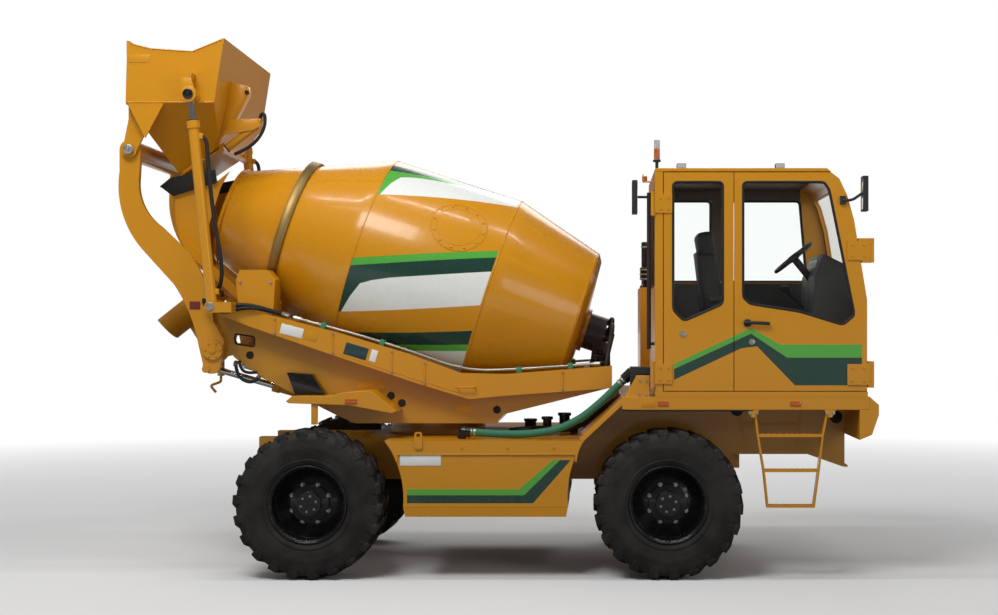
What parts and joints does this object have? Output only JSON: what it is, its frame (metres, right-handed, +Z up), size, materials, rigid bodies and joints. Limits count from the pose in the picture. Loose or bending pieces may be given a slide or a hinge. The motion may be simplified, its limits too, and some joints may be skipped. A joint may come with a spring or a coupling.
{
  "type": "self-loading concrete mixer",
  "caption": "Self-loading concrete mixer: four-wheel chassis with cab, slewing turret, tilted mixing drum, loader arms with gated bucket, and discharge chute.",
  "frame": {"origin": "on the ground under the middle of the machine", "axes": "+X forward, towards the cab; +Y to the vehicle's left; +Z up"},
  "size_m": [5.9223, 2.5451, 4.181],
  "materials": {
    "body_paint": "semi-gloss machine yellow enamel",
    "frame_paint": "semi-gloss machine yellow enamel, in the shade under the body",
    "drum_paint": "gloss yellow enamel with green stripes and white panels",
    "tank_paint": "gloss yellow enamel with a two-tone green stripe",
    "engine_grey": "dark enamelled castings",
    "rim_black": "gloss black enamel",
    "tyre_rubber": "matt rubber",
    "seal_rubber": "matt rubber",
    "hose_green": "ribbed green suction hose",
    "glass": "clear safety glass",
    "lamp": "clear lamp covers in black housings",
    "trim_black": "grained black plastic",
    "seat_cloth": "black vinyl",
    "chrome": "hard chromed rod",
    "steel": "worn bright steel",
    "dark_enamel": "black enamel"
  },
  "bodies": {
    "chassis": {"chassis_frame": "frame_paint", "axle_housings": "frame_paint", "side_tanks": "tank_paint", "cab_platform": "body_paint", "front_guard": "body_paint", "ladder": "body_paint", "cab_shell": "body_paint", "cab_roof": "body_paint", "cab_glass": "glass", "mirror_rear": "trim_black", "lamps": "lamp", "cab_console": "trim_black", "engine_block": "engine_grey", "engine_housing": "body_paint", "air_stack": "dark_enamel", "water_pump": "dark_enamel", "suction_hose": "hose_green", "deck_fittings": "dark_enamel"},
    "door_front": {"door_front": "body_paint", "door_front_glass": "glass", "mirror_front": "trim_black"},
    "door_rear": {"door_rear": "body_paint", "door_rear_glass": "glass"},
    "hood": {"hood": "body_paint"},
    "seat": {"seat": "seat_cloth"},
    "turret": {"turret_base": "frame_paint", "cradle": "body_paint", "rear_wings": "body_paint", "roller_brackets": "body_paint", "drum_drive": "engine_grey", "hopper": "body_paint", "hopper_lip": "seal_rubber"},
    "drum": {"drum": "drum_paint"},
    "roller_left": {"roller_left": "steel"},
    "roller_right": {"roller_right": "steel"},
    "chute": {"chute": "frame_paint"},
    "arms": {"arms": "body_paint"},
    "bucket_pins": {"bucket_pins": "steel"},
    "bucket": {"bucket": "body_paint"},
    "bucket_gate": {"bucket_gate": "body_paint"},
    "lift_barrels": {"lift_barrels": "body_paint"},
    "lift_rods": {"lift_rods": "chrome"},
    "tilt_barrels": {"tilt_barrels": "body_paint"},
    "tilt_rods": {"tilt_rods": "chrome"},
    "knuckle_front_left": {"knuckle_front_left": "frame_paint"},
    "wheel_front_left": {"rim_front_left": "rim_black", "tyre_front_left": "tyre_rubber"},
    "knuckle_front_right": {"knuckle_front_right": "frame_paint"},
    "wheel_front_right": {"rim_front_right": "rim_black", "tyre_front_right": "tyre_rubber"},
    "knuckle_rear_left": {"knuckle_rear_left": "frame_paint"},
    "wheel_rear_left": {"rim_rear_left": "rim_black", "tyre_rear_left": "tyre_rubber"},
    "knuckle_rear_right": {"knuckle_rear_right": "frame_paint"},
    "wheel_rear_right": {"rim_rear_right": "rim_black", "tyre_rear_right": "tyre_rubber"}
  },
  "joints": [
    {"name": "steer_front_left", "type": "hinge", "parent": "chassis", "child": "knuckle_front_left", "pos_m": [1.375, 0.8, 0.575], "axis": [0, 0, 1], "range_deg": [-25, 25]},
    {"name": "wheel_spin_front_left", "type": "hinge", "parent": "knuckle_front_left", "child": "wheel_front_left", "pos_m": [1.375, 1.03, 0.575], "axis": [0, 1, 0], "continuous": true},
    {"name": "steer_front_right", "type": "hinge", "parent": "chassis", "child": "knuckle_front_right", "pos_m": [1.375, -0.8, 0.575], "axis": [0, 0, 1], "range_deg": [-25, 25]},
    {"name": "wheel_spin_front_right", "type": "hinge", "parent": "knuckle_front_right", "child": "wheel_front_right", "pos_m": [1.375, -1.03, 0.575], "axis": [0, 1, 0], "continuous": true},
    {"name": "steer_rear_left", "type": "hinge", "parent": "chassis", "child": "knuckle_rear_left", "pos_m": [-1.375, 0.8, 0.575], "axis": [0, 0, 1], "range_deg": [-25, 25]},
    {"name": "wheel_spin_rear_left", "type": "hinge", "parent": "knuckle_rear_left", "child": "wheel_rear_left", "pos_m": [-1.375, 1.03, 0.575], "axis": [0, 1, 0], "continuous": true},
    {"name": "steer_rear_right", "type": "hinge", "parent": "chassis", "child": "knuckle_rear_right", "pos_m": [-1.375, -0.8, 0.575], "axis": [0, 0, 1], "range_deg": [-25, 25]},
    {"name": "wheel_spin_rear_right", "type": "hinge", "parent": "knuckle_rear_right", "child": "wheel_rear_right", "pos_m": [-1.375, -1.03, 0.575], "axis": [0, 1, 0], "continuous": true},
    {"name": "slew", "type": "hinge", "parent": "chassis", "child": "turret", "pos_m": [-0.5, 0, 1.112], "axis": [0, 0, 1], "range_deg": [-90, 90]},
    {"name": "drum_spin", "type": "hinge", "parent": "turret", "child": "drum", "pos_m": [-1.08, 0, 2.49], "axis": [0.9511, 0, -0.309], "continuous": true},
    {"name": "roller_left_spin", "type": "hinge", "parent": "turret", "child": "roller_left", "pos_m": [-1.84963, 0.52701, 2.18594], "axis": [0.9511, 0, -0.309], "continuous": true},
    {"name": "roller_right_spin", "type": "hinge", "parent": "turret", "child": "roller_right", "pos_m": [-1.84963, -0.52701, 2.18594], "axis": [0.9511, 0, -0.309], "continuous": true},
    {"name": "chute_swing", "type": "hinge", "parent": "turret", "child": "chute", "pos_m": [-2.31, 0, 2.035], "axis": [0, 0, 1], "range_deg": [-50, 50]},
    {"name": "arm_lift", "type": "hinge", "parent": "turret", "child": "arms", "pos_m": [-2.191, 0, 1.747], "axis": [0, -1, 0], "range_deg": [0, 130]},
    {"name": "bucket_level", "type": "hinge", "parent": "arms", "child": "bucket_pins", "pos_m": [-2.844, 0, 3.321], "axis": [0, -1, 0], "range_deg": [-54, 0]},
    {"name": "bucket_tilt", "type": "hinge", "parent": "bucket_pins", "child": "bucket", "pos_m": [-2.844, 0, 3.321], "axis": [0, -1, 0], "range_deg": [0, 30]},
    {"name": "gate_swing", "type": "hinge", "parent": "bucket", "child": "bucket_gate", "pos_m": [-2.21155, 0, 3.35991], "axis": [0, -1, 0], "range_deg": [0, 40]},
    {"name": "tilt_cylinder_swing", "type": "hinge", "parent": "turret", "child": "tilt_barrels", "pos_m": [-2.155, 0, 2.084], "axis": [0, -1, 0], "range_deg": [0, 133]},
    {"name": "tilt_rod_slide", "type": "slide", "parent": "tilt_barrels", "child": "tilt_rods", "axis": [-0.1029, 0, 0.9947], "range_m": [0, 0.29]},
    {"name": "lift_cylinder_swing", "type": "hinge", "parent": "turret", "child": "lift_barrels", "pos_m": [-1.092, 0, 1.264], "axis": [0, -1, 0], "range_deg": [-11.2, 0]},
    {"name": "lift_rod_slide", "type": "slide", "parent": "lift_barrels", "child": "lift_rods", "axis": [-0.9608, 0, 0.2771], "range_m": [-0.203, 0]},
    {"name": "front_door_hinge", "type": "hinge", "parent": "chassis", "child": "door_front", "pos_m": [2.925, -1.232, 2], "axis": [0, 0, 1], "range_deg": [0, 85]},
    {"name": "rear_door_hinge", "type": "hinge", "parent": "chassis", "child": "door_rear", "pos_m": [1.252, -1.232, 2], "axis": [0, 0, -1], "range_deg": [0, 85]},
    {"name": "hood_hinge", "type": "hinge", "parent": "chassis", "child": "hood", "pos_m": [2.875, 0.7825, 2.2475], "axis": [0, 1, 0], "range_deg": [0, 55]},
    {"name": "seat_swivel", "type": "hinge", "parent": "chassis", "child": "seat", "pos_m": [1.88, -0.445, 1.4], "axis": [0, 0, 1], "range_deg": [0, 180]}
  ],
  "couplings": [
    {"joint": "steer_front_right", "follows": "steer_front_left", "ratio": 1},
    {"joint": "steer_rear_right", "follows": "steer_rear_left", "ratio": 1},
    {"joint": "roller_left_spin", "follows": "drum_spin", "ratio": -6.0952},
    {"joint": "roller_right_spin", "follows": "drum_spin", "ratio": -6.0952},
    {"joint": "bucket_level", "follows": "arm_lift", "ratio": -0.4153},
    {"joint": "tilt_cylinder_swing", "follows": "arm_lift", "ratio": 1.023},
    {"joint": "lift_cylinder_swing", "follows": "arm_lift", "ratio": -0.0861},
    {"joint": "lift_rod_slide", "follows": "arm_lift", "m_per_rad": -0.0894},
    {"joint": "tilt_rod_slide", "follows": "bucket_tilt", "m_per_rad": 0.5535}
  ]
}
